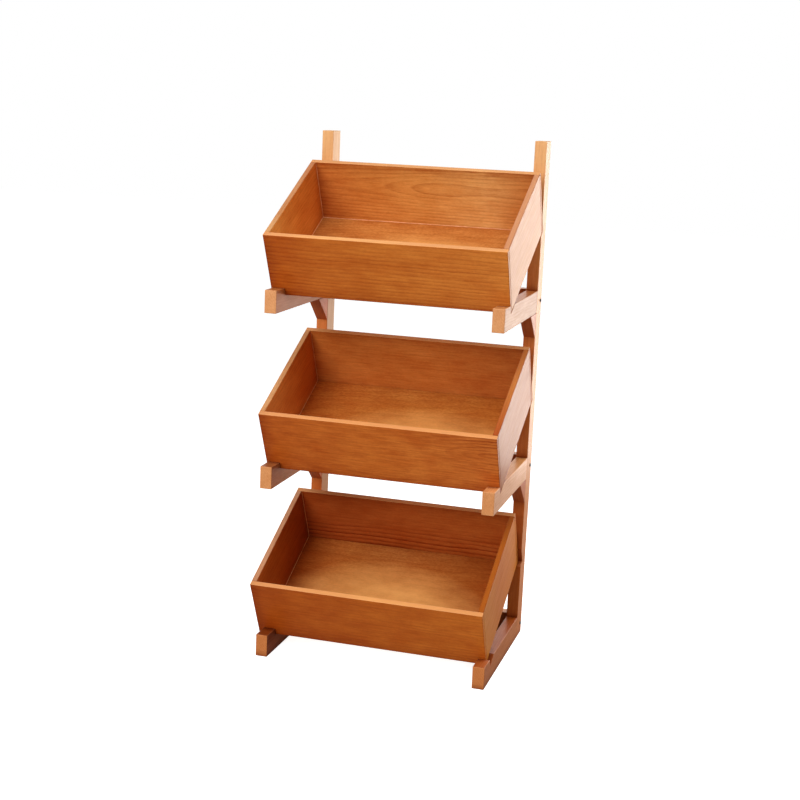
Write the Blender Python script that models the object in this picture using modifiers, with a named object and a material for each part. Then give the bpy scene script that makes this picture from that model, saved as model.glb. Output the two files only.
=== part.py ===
"""Three-tier display stand: two posts with level arms, and three open bins that rest tilted in V-notches.

Axes: X across, with the viewer's right at +X; Y from front to back; Z up. While the pieces are laid out, the
posts' front faces lie on Y = 0, the floor on Z = 0 and the middle of the frame on X = 0.
"""

import math

import bmesh
import bpy
from mathutils import Euler, Matrix

# Frame, in metres. Posts, arms, braces and rails are cut from one stock
FRAME_WIDTH = 0.502
STOCK_THICKNESS = 0.0255
STOCK_WIDTH = 0.048
ARM_END_LENGTH = 0.048
BRACE_REACH = 0.061
BRACE_DROP = 0.0535
POST_RISE = 0.0625

# Bins, and the notches that hold their lower corners
BIN_OVERHANG = 0.00235
BIN_DEPTH = 0.3205
BIN_HEIGHT = 0.1425
BIN_TILT = math.radians(26.6)
BIN_HEADROOM = 0.0668
BOARD_THICKNESS = 0.0115
BASE_THICKNESS = 0.0045
ARM_NOTCH_DEPTH = 0.0152
POST_NOTCH_DEPTH = 0.016
BIN_SLIP = -0.0028
LOWER_BIN_SLIP = -0.0118

# Screws
RAIL_SCREW_LENGTH = 0.060
RAIL_SCREW_HEAD_RADIUS = 0.004
RAIL_SCREW_SHANK_RADIUS = 0.002
ARM_SCREW_LENGTH = 0.095
ARM_SCREW_HEAD_RADIUS = 0.0045
ARM_SCREW_SHANK_RADIUS = 0.0025
ARM_SCREW_SPACING = 0.024
SCREW_POINT_RATIO = 2.0
HEAD_RECESS = 0.0006
SCREW_STEPS = 16

# Fits and finish
FIT_GAP = 0.0003
EDGE_EASE = 0.001
EASE_SEGMENTS = 2
WELD_DISTANCE = 0.00001
FLAT_ANGLE = math.radians(1)
CUT_MARGIN = 0.002

# Names, from the floor up and from the viewer's left
TIERS = ("lower", "middle", "upper")
BRACED_TIERS = ("middle", "upper")
SIDES = {"left": -1, "right": 1}

# Lengths that follow: a bin's front corner sits in the arm's notch and its rear corner in the post's
BIN_FRONT_Y = POST_NOTCH_DEPTH - BIN_DEPTH * math.cos(BIN_TILT)
BIN_FRONT_Z = STOCK_WIDTH - ARM_NOTCH_DEPTH
RIM_FRONT_Y = BIN_FRONT_Y - BIN_HEIGHT * math.sin(BIN_TILT)
RIM_REAR_Z = BIN_FRONT_Z + BIN_DEPTH * math.sin(BIN_TILT) + BIN_HEIGHT * math.cos(BIN_TILT)
BIN_WIDTH = FRAME_WIDTH + 2 * BIN_OVERHANG
TIER_PITCH = RIM_REAR_Z + BIN_HEADROOM
POST_HEIGHT = TIER_PITCH * (len(TIERS) - 1) + RIM_REAR_Z + POST_RISE
POST_CENTRE_X = (FRAME_WIDTH - STOCK_THICKNESS) / 2

# Stands an outline drawn in X and Y up in Y and Z, with its thickness along X
STAND_UP = Euler((math.pi / 2, 0, math.pi / 2)).to_matrix().to_4x4()


# Scene and materials

def clear_scene():
    for item in list(bpy.data.objects):
        bpy.data.objects.remove(item, do_unlink=True)


def new_collection(name):
    collection = bpy.data.collections.new(name)
    bpy.context.scene.collection.children.link(collection)
    return collection


def new_material(name, colour, roughness, metallic=0.0):
    material = bpy.data.materials.new(name)
    material.use_nodes = True
    shader = material.node_tree.nodes["Principled BSDF"]
    shader.inputs["Base Color"].default_value = (*colour, 1)
    shader.inputs["Roughness"].default_value = roughness
    shader.inputs["Metallic"].default_value = metallic
    return material


def stand_origin():
    """Where the layout's origin goes, so that the stand's own is the bottom centre of its bounding box."""
    bin_ends = [slip + end * BIN_WIDTH / 2 for slip in (BIN_SLIP, LOWER_BIN_SLIP) for end in SIDES.values()]
    left = min(-FRAME_WIDTH / 2, *bin_ends)
    right = max(FRAME_WIDTH / 2, *bin_ends)
    front = min(-arm_reach(), RIM_FRONT_Y)
    return -(left + right) / 2, -(front + STOCK_WIDTH) / 2, 0


# Side view of the tiers

def tier_height(tier):
    """Height of the underside of this tier's arms."""
    return TIER_PITCH * TIERS.index(tier)


def bin_point(tier, along, up):
    """(y, z) of a point in a bin's side view: along its base from the front corner, and up its front board."""
    y = BIN_FRONT_Y + along * math.cos(BIN_TILT) - up * math.sin(BIN_TILT)
    z = tier_height(tier) + BIN_FRONT_Z + along * math.sin(BIN_TILT) + up * math.cos(BIN_TILT)
    return y, z


def arm_notch(tier):
    """The notch for a bin's front corner: its rear lip, its bottom and its front lip."""
    top = tier_height(tier) + STOCK_WIDTH
    y, z = bin_point(tier, -FIT_GAP, -FIT_GAP)
    rear_lip = (y + (top - z) / math.tan(BIN_TILT), top)
    front_lip = (y - (top - z) * math.tan(BIN_TILT), top)
    return [rear_lip, (y, z), front_lip]


def post_notch(tier):
    """The notch for a bin's rear corner: its upper lip, its bottom and its lower lip."""
    y, z = bin_point(tier, BIN_DEPTH + FIT_GAP, -FIT_GAP)
    upper_lip = (0, z + y / math.tan(BIN_TILT))
    lower_lip = (0, z - y * math.tan(BIN_TILT))
    return [upper_lip, (y, z), lower_lip]


def arm_reach():
    """How far the arms stand out from the posts: past the notch by a full end block."""
    front_lip_y = arm_notch(TIERS[0])[-1][0]
    return ARM_END_LENGTH - front_lip_y


# Solids

def outline_mesh(name, outline, thickness):
    """A board cut to an outline of (y, z) points, with its thickness centred on X = 0."""
    curve = bpy.data.curves.new(name, "CURVE")
    curve.dimensions = "2D"
    curve.fill_mode = "BOTH"
    curve.extrude = thickness / 2
    spline = curve.splines.new("POLY")
    spline.points.add(len(outline) - 1)
    for point, (y, z) in zip(spline.points, outline):
        point.co = (y, z, 0, 1)
    spline.use_cyclic_u = True
    guide = bpy.data.objects.new(name, curve)
    CUTTERS.objects.link(guide)
    graph = bpy.context.evaluated_depsgraph_get()
    mesh = bpy.data.meshes.new_from_object(guide.evaluated_get(graph))
    bpy.data.objects.remove(guide)

    solid = bmesh.new()
    solid.from_mesh(mesh)
    bmesh.ops.remove_doubles(solid, verts=solid.verts, dist=WELD_DISTANCE)
    bmesh.ops.dissolve_limit(solid, angle_limit=FLAT_ANGLE, verts=solid.verts, edges=solid.edges)
    bmesh.ops.recalc_face_normals(solid, faces=solid.faces)
    solid.transform(STAND_UP)
    solid.to_mesh(mesh)
    solid.free()
    return mesh


def board_mesh(name, size):
    """A rectangular board centred on its own origin."""
    mesh = bpy.data.meshes.new(name)
    solid = bmesh.new()
    bmesh.ops.create_cube(solid, size=1, matrix=Matrix.Diagonal((*size, 1)))
    solid.to_mesh(mesh)
    solid.free()
    return mesh


def wooden_piece(name, mesh, material, parent, position):
    """A named piece of wood with eased edges."""
    mesh.materials.append(material)
    piece = bpy.data.objects.new(name, mesh)
    PIECES.objects.link(piece)
    piece.parent = parent
    piece.location = position
    ease = piece.modifiers.new("eased_edges", "BEVEL")
    ease.width = EDGE_EASE
    ease.segments = EASE_SEGMENTS
    ease.limit_method = "ANGLE"
    return piece


def turned(name, profile, position, rotation):
    """A round solid turned about its own Z from (radius, height) points, listed from the top down."""
    mesh = bpy.data.meshes.new(name)
    points = [(radius, 0, height) for radius, height in profile]
    edges = [(i, i + 1) for i in range(len(points) - 1)]
    mesh.from_pydata(points, edges, [])
    solid = bpy.data.objects.new(name, mesh)
    solid.parent = STAND
    solid.location = position
    solid.rotation_euler = rotation
    turn = solid.modifiers.new("turn", "SCREW")
    turn.steps = SCREW_STEPS
    turn.render_steps = SCREW_STEPS
    turn.use_merge_vertices = True
    turn.merge_threshold = WELD_DISTANCE
    return solid


def drill(piece, hole):
    """Adds a hole to the one Boolean that cuts all of a piece's holes."""
    cut = piece.modifiers.get("holes")
    if cut is None:
        cut = piece.modifiers.new("holes", "BOOLEAN")
        cut.operation = "DIFFERENCE"
        cut.solver = "EXACT"
        cut.operand_type = "COLLECTION"
        cut.collection = bpy.data.collections.new(f"{piece.name}_holes")
        CUTTERS.children.link(cut.collection)
    cut.collection.objects.link(hole)


def screw(name, length, head_radius, shank_radius, position, rotation, drilled):
    """A countersunk screw driven along its own -Z, and the hole for it in each drilled piece."""
    head_depth = head_radius - shank_radius
    point_length = SCREW_POINT_RATIO * shank_radius
    body = turned(name, [
        (0, 0),
        (head_radius, 0),
        (shank_radius, -head_depth),
        (shank_radius, point_length - length),
        (0, -length),
    ], position, rotation)
    body.data.materials.append(STEEL)
    PIECES.objects.link(body)

    hole_top = HEAD_RECESS + CUT_MARGIN
    hole = turned(f"{name}_hole", [
        (0, hole_top),
        (head_radius + FIT_GAP, hole_top),
        (head_radius + FIT_GAP, 0),
        (shank_radius + FIT_GAP, -head_depth),
        (shank_radius + FIT_GAP, -length - FIT_GAP),
        (0, -length - FIT_GAP),
    ], position, rotation)
    hole.hide_render = True
    hole.display_type = "WIRE"
    for piece in drilled:
        drill(piece, hole)


# Frame pieces

def frame_piece(name, outline, side):
    """A piece of the frame's left or right ladder, cut from the stock to its side outline."""
    mesh = outline_mesh(name, outline, STOCK_THICKNESS)
    return wooden_piece(name, mesh, FRAME_WOOD, STAND, (SIDES[side] * POST_CENTRE_X, 0, 0))


def post(side):
    """An upright with a notch in its front edge for each tier."""
    outline = [(0, 0), (STOCK_WIDTH, 0), (STOCK_WIDTH, POST_HEIGHT), (0, POST_HEIGHT)]
    for tier in reversed(TIERS):
        outline += post_notch(tier)
    return frame_piece(f"post_{side}", outline, side)


def arm(tier, side):
    """A level arm from the post's front face, with a notch in its top behind a full-height end block."""
    bottom = tier_height(tier)
    top = bottom + STOCK_WIDTH
    end = -arm_reach()
    outline = [(-FIT_GAP, bottom), (-FIT_GAP, top), *arm_notch(tier), (end, top), (end, bottom)]
    return frame_piece(f"arm_{tier}_{side}", outline, side)


def brace(tier, side):
    """A triangle in the corner between an arm's underside and the post."""
    top = tier_height(tier) - FIT_GAP
    outline = [(-FIT_GAP, top), (-BRACE_REACH, top), (-FIT_GAP, top - BRACE_DROP)]
    return frame_piece(f"brace_{tier}_{side}", outline, side)


def rail(tier):
    """A cross rail between the posts, level with the arms and flush with the posts' backs."""
    name = f"rail_{tier}"
    length = FRAME_WIDTH - 2 * STOCK_THICKNESS - 2 * FIT_GAP
    mesh = board_mesh(name, (length, STOCK_THICKNESS, STOCK_WIDTH))
    position = (0, STOCK_WIDTH - STOCK_THICKNESS / 2, tier_height(tier) + STOCK_WIDTH / 2)
    return wooden_piece(name, mesh, FRAME_WOOD, STAND, position)


def fasten(tier, side, upright, level_arm, cross_rail):
    """One screw through the post's outer side into the rail, and two from behind into the arm's end grain."""
    outward = SIDES[side]
    middle = tier_height(tier) + STOCK_WIDTH / 2
    outer_face = FRAME_WIDTH / 2 - HEAD_RECESS
    back_face = STOCK_WIDTH - HEAD_RECESS
    screw(
        f"rail_screw_{tier}_{side}", RAIL_SCREW_LENGTH, RAIL_SCREW_HEAD_RADIUS, RAIL_SCREW_SHANK_RADIUS,
        (outward * outer_face, STOCK_WIDTH - STOCK_THICKNESS / 2, middle),
        (0, outward * math.pi / 2, 0), (upright, cross_rail),
    )
    for level, rise in {"low": -1, "high": 1}.items():
        screw(
            f"arm_screw_{tier}_{side}_{level}", ARM_SCREW_LENGTH, ARM_SCREW_HEAD_RADIUS, ARM_SCREW_SHANK_RADIUS,
            (outward * POST_CENTRE_X, back_face, middle + rise * ARM_SCREW_SPACING / 2),
            (-math.pi / 2, 0, 0), (upright, level_arm),
        )


# Bins

def bin_holder(tier):
    """The empty that a bin's boards hang on: at the middle of its front lower edge, tilted with its base."""
    holder = bpy.data.objects.new(f"bin_{tier}", None)
    PIECES.objects.link(holder)
    holder.parent = STAND
    slip = LOWER_BIN_SLIP if tier == TIERS[0] else BIN_SLIP
    holder.location = (slip, *bin_point(tier, 0, 0))
    holder.rotation_euler.x = BIN_TILT
    return holder


def bin_boards(tier):
    """Five boards. The front and back run the bin's full width, and the base lies inside the four walls."""
    holder = bin_holder(tier)
    inner_depth = BIN_DEPTH - 2 * BOARD_THICKNESS - 2 * FIT_GAP
    inner_width = BIN_WIDTH - 2 * BOARD_THICKNESS - 2 * FIT_GAP
    end_size = (BIN_WIDTH, BOARD_THICKNESS, BIN_HEIGHT)
    side_size = (BOARD_THICKNESS, inner_depth, BIN_HEIGHT)
    base_size = (inner_width, inner_depth, BASE_THICKNESS)
    side_x = (BIN_WIDTH - BOARD_THICKNESS) / 2
    middle_y = BIN_DEPTH / 2
    middle_z = BIN_HEIGHT / 2
    boards = {
        "front": (end_size, BIN_WOOD, (0, BOARD_THICKNESS / 2, middle_z)),
        "back": (end_size, BIN_WOOD, (0, BIN_DEPTH - BOARD_THICKNESS / 2, middle_z)),
        "side_left": (side_size, BIN_WOOD, (-side_x, middle_y, middle_z)),
        "side_right": (side_size, BIN_WOOD, (side_x, middle_y, middle_z)),
        "base": (base_size, BASE_WOOD, (0, middle_y, BASE_THICKNESS / 2)),
    }
    for board, (size, material, position) in boards.items():
        name = f"bin_{tier}_{board}"
        wooden_piece(name, board_mesh(name, size), material, holder, position)


# Assembly

clear_scene()
PIECES = new_collection("display_stand")
CUTTERS = new_collection("cutters")
FRAME_WOOD = new_material("frame_wood", colour=(0.62, 0.26, 0.085), roughness=0.45)
BIN_WOOD = new_material("bin_wood", colour=(0.50, 0.16, 0.030), roughness=0.42)
BASE_WOOD = new_material("base_wood", colour=(0.54, 0.21, 0.045), roughness=0.50)
STEEL = new_material("screw_steel", colour=(0.05, 0.045, 0.04), roughness=0.40, metallic=1.0)

STAND = bpy.data.objects.new("stand", None)
PIECES.objects.link(STAND)
STAND.location = stand_origin()

posts = {side: post(side) for side in SIDES}
for tier in TIERS:
    bin_boards(tier)
    cross_rail = rail(tier)
    for side in SIDES:
        level_arm = arm(tier, side)
        fasten(tier, side, posts[side], level_arm, cross_rail)
        if tier in BRACED_TIERS:
            brace(tier, side)
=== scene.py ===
"""Looks of the three-tier display stand: stained wood, screws, glue lines and a white studio.

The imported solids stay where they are. Coordinates are theirs, in metres: X across with the viewer's right
at +X, Y from front to back, Z up from the floor.
"""

import itertools
import math
from collections import namedtuple

import bmesh
import bpy
from mathutils import Matrix, Vector


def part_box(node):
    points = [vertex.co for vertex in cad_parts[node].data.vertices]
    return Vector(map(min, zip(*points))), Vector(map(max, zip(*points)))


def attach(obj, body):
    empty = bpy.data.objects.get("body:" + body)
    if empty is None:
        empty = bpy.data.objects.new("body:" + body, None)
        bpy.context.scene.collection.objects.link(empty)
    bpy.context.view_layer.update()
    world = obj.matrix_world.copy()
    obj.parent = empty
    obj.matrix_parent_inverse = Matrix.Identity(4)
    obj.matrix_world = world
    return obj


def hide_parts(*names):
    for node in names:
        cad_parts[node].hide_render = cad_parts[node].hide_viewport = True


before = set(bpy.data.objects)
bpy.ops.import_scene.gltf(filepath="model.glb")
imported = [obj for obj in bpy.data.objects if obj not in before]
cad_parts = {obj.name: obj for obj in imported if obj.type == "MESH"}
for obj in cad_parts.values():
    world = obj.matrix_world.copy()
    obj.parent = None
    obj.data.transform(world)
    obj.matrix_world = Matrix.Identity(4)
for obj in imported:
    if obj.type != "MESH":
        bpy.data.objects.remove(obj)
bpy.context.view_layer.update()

# Names, from the floor up and from the viewer's left
TIERS = ("lower", "middle", "upper")
BRACED_TIERS = ("middle", "upper")
SIDES = {"left": -1, "right": 1}

# Bins, as in the part's source
BIN_TILT = math.radians(26.6)
BIN_WIDTH = 0.5067
BIN_DEPTH = 0.3205
BIN_HEIGHT = 0.1425
BOARD_THICKNESS = 0.0115
BASE_THICKNESS = 0.0045

# Frame, as in the part's source
STOCK_WIDTH = 0.048
POST_HEIGHT = 1.107
ARM_LENGTH = 0.326
RAIL_LENGTH = 0.451
BRACE_REACH = 0.061
BRACE_DROP = 0.0535

# Screws, as in the part's source
RAIL_SCREW_LENGTH = 0.060
RAIL_SCREW_HEAD_RADIUS = 0.004
RAIL_SCREW_SHANK_RADIUS = 0.002
ARM_SCREW_LENGTH = 0.095
ARM_SCREW_HEAD_RADIUS = 0.0045
ARM_SCREW_SHANK_RADIUS = 0.0025

# Camera, fitted to the photograph's square frame
IMAGE_SIDE = 800
FOCAL_PIXELS = 1475.5
CAMERA_POSITION = Vector((0.8450, -2.9831, 1.1775))
CAMERA_YAW = math.radians(15.80)
CAMERA_PITCH = math.radians(-11.44)
CAMERA_ROLL = math.radians(-2.54)


# Colours

def tint(red, green, blue):
    """A colour written in the screen's 0 to 255, as the linear colour that the shaders take."""
    def linear(value):
        # The sRGB curve
        share = value / 255
        return share / 12.92 if share <= 0.04045 else ((share + 0.055) / 1.055) ** 2.4
    return linear(red), linear(green), linear(blue), 1.0


# Node helpers

# Noise seldom comes near 0 or 1, so the middle of its range is stretched to the whole
MIDDLE_NOISE = (0.35, 0.65)
WIDER_NOISE = (0.30, 0.70)
EVEN_NOISE_DETAIL = 3


def new_material(name):
    """A material that is made of nodes, with its tree and its shader."""
    material = bpy.data.materials.new(name)
    material.use_nodes = True
    tree = material.node_tree
    return material, tree, tree.nodes["Principled BSDF"]


def feed(tree, value, socket):
    """Links a socket's value into another socket, or writes a plain value there."""
    if isinstance(value, bpy.types.NodeSocket):
        tree.links.new(value, socket)
    else:
        socket.default_value = value


def maths(tree, operation, *values):
    node = tree.nodes.new("ShaderNodeMath")
    node.operation = operation
    for value, socket in zip(values, node.inputs):
        feed(tree, value, socket)
    return node.outputs["Value"]


def sum_of_squares(tree, first, second):
    squares = [maths(tree, "MULTIPLY", value, value) for value in (first, second)]
    return maths(tree, "ADD", *squares)


def rescale(tree, value, low, high, new_low, new_high):
    """Takes a value from one range to another and holds it there."""
    node = tree.nodes.new("ShaderNodeMapRange")
    for place, item in enumerate((value, low, high, new_low, new_high)):
        feed(tree, item, node.inputs[place])
    return node.outputs["Result"]


def weighted(tree, terms, start=0.0):
    """The sum of values, each times its weight, on top of a start."""
    total = start
    for value, weight in terms:
        total = maths(tree, "MULTIPLY_ADD", value, weight, total)
    return total


def axes_of(tree, vector):
    node = tree.nodes.new("ShaderNodeSeparateXYZ")
    feed(tree, vector, node.inputs["Vector"])
    return tuple(node.outputs)


def stretched(tree, vector, scales, shift):
    """The vector with its axes scaled and the whole moved, for a texture that is longer one way."""
    node = tree.nodes.new("ShaderNodeMapping")
    feed(tree, vector, node.inputs["Vector"])
    feed(tree, shift, node.inputs["Location"])
    node.inputs["Scale"].default_value = scales
    return node.outputs["Vector"]


def noise(tree, vector, detail, roughness=0.5):
    node = tree.nodes.new("ShaderNodeTexNoise")
    feed(tree, vector, node.inputs["Vector"])
    node.inputs["Scale"].default_value = 1
    node.inputs["Detail"].default_value = detail
    node.inputs["Roughness"].default_value = roughness
    return node.outputs["Fac"]


def even_noise(tree, scale):
    """Noise of one scale all ways."""
    place = tree.nodes.new("ShaderNodeTexCoord").outputs["Object"]
    return noise(tree, stretched(tree, place, (scale,) * 3, (0, 0, 0)), EVEN_NOISE_DETAIL)


def mixed(tree, share, first, second, blend="MIX"):
    node = tree.nodes.new("ShaderNodeMix")
    node.data_type = "RGBA"
    node.blend_type = blend
    feed(tree, share, node.inputs["Factor"])
    colours = [socket for socket in node.inputs if socket.type == "RGBA"]
    feed(tree, first, colours[0])
    feed(tree, second, colours[1])
    return next(socket for socket in node.outputs if socket.type == "RGBA")


def ramp(tree, value, stops):
    """Runs through (place, colour) stops as a value goes from 0 to 1."""
    node = tree.nodes.new("ShaderNodeValToRGB")
    feed(tree, value, node.inputs["Fac"])
    elements = node.color_ramp.elements
    elements.remove(elements[1])
    for place, colour in stops[1:]:
        elements.new(place).color = (*colour, 1)
    elements[0].color = (*stops[0][1], 1)
    return node.outputs["Color"]


# Wood grain, shared by every board

GRAIN_INPUTS = (
    "Heart Side", "Heart Depth", "Lean", "Ring Width", "Wander",
    "Island Along", "Island Across", "Island Reach", "Island Drop", "Seed",
)
LATE_WOOD = ((0.0, 0.0), (0.40, 0.10), (0.70, 0.70), (0.86, 1.0), (1.0, 0.0))
FAINTEST_RING = 0.45
ISLAND_SLENDERNESS = 2.6
SEED_STEPS = (17.3, -9.1, 5.7)

# How fine a texture is along the grain and across it
Texture = namedtuple("Texture", "along across detail roughness")
SLOW_WANDER = Texture(along=3.0, across=9.0, detail=2, roughness=0.5)
QUICK_WANDER = Texture(along=11.0, across=38.0, detail=2, roughness=0.5)
QUICK_WANDER_SHARE = 0.25
FIBRES = Texture(along=20.0, across=260.0, detail=4, roughness=0.62)
CLOUDS = Texture(along=13.0, across=28.0, detail=4, roughness=0.6)
SPECKS = Texture(along=150.0, across=320.0, detail=3, roughness=0.7)


def centred(tree, value, size):
    """A value from 0 to 1 turned into a swing about 0, as large as the size."""
    return maths(tree, "MULTIPLY", maths(tree, "SUBTRACT", value, 0.5), size)


def seed_shift(tree, seed):
    """Moves a board's textures to a place of their own."""
    node = tree.nodes.new("ShaderNodeCombineXYZ")
    for step, socket in zip(SEED_STEPS, node.inputs):
        feed(tree, maths(tree, "MULTIPLY", seed, step), socket)
    return node.outputs["Vector"]


def grain_noise(tree, board, shift, texture):
    scales = (texture.along, texture.across, texture.across)
    return noise(tree, stretched(tree, board, scales, shift), texture.detail, texture.roughness)


def heart_sway(tree, given, shift):
    """How far the heart line wanders."""
    slow = centred(tree, grain_noise(tree, given["Board"], shift, SLOW_WANDER), given["Wander"])
    quick = centred(tree, grain_noise(tree, given["Board"], shift, QUICK_WANDER), given["Wander"])
    return maths(tree, "ADD", slow, maths(tree, "MULTIPLY", quick, QUICK_WANDER_SHARE))


def ring_count(tree, given, shift):
    """Rings from the heart line, which leans through the board and draws arches on a flat-sawn face."""
    along, across, through = axes_of(tree, given["Board"])
    side = maths(tree, "SUBTRACT", across, given["Heart Side"])
    lean = maths(tree, "MULTIPLY", along, given["Lean"])
    depth = maths(tree, "ADD", maths(tree, "SUBTRACT", through, given["Heart Depth"]), lean)
    radius = maths(tree, "SQRT", sum_of_squares(tree, side, depth))
    swayed = maths(tree, "ADD", radius, heart_sway(tree, given, shift))
    return maths(tree, "DIVIDE", swayed, given["Ring Width"])


def island_rings(tree, given):
    """Rings that a hollow takes away, which draws a closed island with the other rings bent round it."""
    along, across, _ = axes_of(tree, given["Board"])
    from_middle = maths(tree, "SUBTRACT", along, given["Island Along"])
    long_way = maths(tree, "DIVIDE", from_middle, given["Island Reach"])
    from_middle = maths(tree, "SUBTRACT", across, given["Island Across"])
    short_way = maths(tree, "DIVIDE", from_middle, given["Island Reach"])
    short_way = maths(tree, "MULTIPLY", short_way, ISLAND_SLENDERNESS)
    distance = sum_of_squares(tree, long_way, short_way)
    hollow = maths(tree, "EXPONENT", maths(tree, "MULTIPLY", distance, -1.0))
    return maths(tree, "MULTIPLY", hollow, given["Island Drop"])


def late_wood(tree, turn, seed):
    """Each ring darkens slowly towards its late wood, and some rings stand out more than others."""
    year = tree.nodes.new("ShaderNodeTexWhiteNoise")
    year.noise_dimensions = "1D"
    feed(tree, maths(tree, "ADD", maths(tree, "FLOOR", turn), seed), year.inputs["W"])
    strength = rescale(tree, year.outputs["Value"], 0, 1, FAINTEST_RING, 1)
    late = ramp(tree, maths(tree, "FRACT", turn), [(place, (height,) * 3) for place, height in LATE_WOOD])
    return maths(tree, "MULTIPLY", late, strength)


def grain_group():
    """Growth rings, fibres, and clouds and specks of staining, in a board's own metres with X along its
    grain.
    """
    tree = bpy.data.node_groups.new("wood_grain", "ShaderNodeTree")
    tree.interface.new_socket("Board", in_out="INPUT", socket_type="NodeSocketVector")
    for name in GRAIN_INPUTS:
        tree.interface.new_socket(name, in_out="INPUT", socket_type="NodeSocketFloat")
    for name in ("Rings", "Fibres", "Clouds", "Specks"):
        tree.interface.new_socket(name, in_out="OUTPUT", socket_type="NodeSocketFloat")
    given = tree.nodes.new("NodeGroupInput").outputs
    made = tree.nodes.new("NodeGroupOutput").inputs

    shift = seed_shift(tree, given["Seed"])
    turn = maths(tree, "SUBTRACT", ring_count(tree, given, shift), island_rings(tree, given))
    feed(tree, late_wood(tree, turn, given["Seed"]), made["Rings"])
    for name, texture in (("Fibres", FIBRES), ("Clouds", CLOUDS), ("Specks", SPECKS)):
        feed(tree, grain_noise(tree, given["Board"], shift, texture), made[name])
    return tree


WOOD_GRAIN = grain_group()


# Wood materials. Shares are how far a feature takes the colour from early wood to late, or to the pale colour
# of painted highlights and painted pools of light

Timber = namedtuple("Timber", (
    "early late worn ring_share fibre_share speck_share cloud_share gathered_share rubbed_share rim_share "
    "edge_dark edge_pale crevice_share"
))

BIN_TIMBER = Timber(
    early=tint(206, 120, 46), late=tint(138, 52, 8), worn=tint(240, 180, 120),
    ring_share=0.80, fibre_share=0.22, speck_share=0.14, cloud_share=0.80,
    gathered_share=0.45, rubbed_share=0.0, rim_share=0.50, edge_dark=0.7, edge_pale=0.7, crevice_share=0.15,
)
FRONT_TIMBER = BIN_TIMBER._replace(crevice_share=0.0)
MOTTLED_FRONT_TIMBER = FRONT_TIMBER._replace(fibre_share=0.36, cloud_share=0.95)
SIDE_TIMBER = BIN_TIMBER._replace(gathered_share=0.0, rim_share=0.0, edge_pale=0.0)
SMOOTH_SIDE_TIMBER = SIDE_TIMBER._replace(
    ring_share=0.30, fibre_share=0.10, speck_share=0.05, cloud_share=0.40,
)
FRAME_TIMBER = Timber(
    early=tint(222, 156, 100), late=tint(170, 92, 42), worn=tint(240, 192, 144),
    ring_share=0.25, fibre_share=0.22, speck_share=0.10, cloud_share=0.40,
    gathered_share=0.0, rubbed_share=0.0, rim_share=0.0, edge_dark=0.0, edge_pale=0.3, crevice_share=1.0,
)
PLY_TIMBER = Timber(
    early=tint(190, 104, 40), late=tint(134, 56, 12), worn=tint(240, 176, 101),
    ring_share=0.25, fibre_share=0.20, speck_share=0.40, cloud_share=0.80,
    gathered_share=0.20, rubbed_share=0.90, rim_share=0.0, edge_dark=0.0, edge_pale=0.0, crevice_share=0.15,
)

# How each kind of board was sawn. A fade is how strongly the rings show at the middle, and how much more per
# metre along and across. An island is its place along and across, its reach and how many rings it drops
EVEN_FIGURE = (1.0, 0.0, 0.0)
NO_ISLAND = (0.0, 0.0, 1.0, 0.0)
Cut = namedtuple(
    "Cut", "heart_side heart_depth lean ring_width wander figure fade island",
    defaults=(1.0, EVEN_FIGURE, NO_ISLAND),
)
STRAIGHT = Cut(heart_side=0.16, heart_depth=0.10, lean=0.020, ring_width=0.0075, wander=0.014, figure=0.45)
PLAIN = STRAIGHT._replace(figure=0.15)
LOOPED = Cut(
    heart_side=0.021, heart_depth=0.0376, lean=0.040, ring_width=0.007, wander=0.004, figure=0.55,
    fade=(0.85, 0.0, 0.0), island=(0.030, 0.022, 0.080, 1.35),
)
STREAKED = Cut(
    heart_side=0.12, heart_depth=0.05, lean=0.020, ring_width=0.0125, wander=0.030, figure=1.0,
    fade=(0.35, 0.0, -14.0),
)
ARCHED_END = Cut(
    heart_side=0.026, heart_depth=0.0575, lean=0.21, ring_width=0.0075, wander=0.008, figure=0.75,
    fade=(-0.95, 7.0, 6.0),
)
PEELED = Cut(heart_side=0.01, heart_depth=0.16, lean=0.035, ring_width=0.0090, wander=0.050)
STICK = Cut(heart_side=0.05, heart_depth=0.06, lean=0.012, ring_width=0.0045, wander=0.006, figure=0.6)

# Staining and painted light and shade, as shares of a timber's colour evenly spaced along the grain. Rims,
# which are the narrow faces, and ends may have their own, and so may the second broad face, the one that
# faces -X on a post and -Y on a rail.
# The centre of a painted pool of light is given along and across the grain from a board's middle
BOARD_MIDDLE = (0.0, 0.0)
Stain = namedtuple("Stain", "along rim end rubbed second", defaults=(None, None, BOARD_MIDDLE, None))
GOLDEN = (1.12, 1.22, 1.28, 1.0)
REDDISH = (0.88, 0.74, 0.60, 1.0)

# Painted highlights along edges, dark lines of staining and painted shade along them, painted shade near
# them, and painted shade in crevices between boards
EDGE_NEARNESS_RADIUS = 0.0025
EDGE_NEARNESS_SAMPLES = 4
EDGE_NEARNESS_FACING = 0.80
RIM_REACH = 0.006
NEAR_EDGE_SHADE_REACH = 0.035
CREVICE_REACH = 0.020
CREVICE_SAMPLES = 6
CREVICE_OPENNESS = (0.90, 0.45)
# The colour that the painted shade in crevices multiplies the wood by
CREVICE_SHADE = (0.42, 0.25, 0.17, 1.0)

# How square to an axis a normal is where a face starts to count as facing along it, and where it fully does
FACING_RANGE = (0.6, 0.9)

# How much of its painted highlight an edge, or a painted pool of light, keeps under a stained cloud
CLOUDED_EDGE = 0.4
CLOUDED_LIGHT_POOL = 0.6

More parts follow.
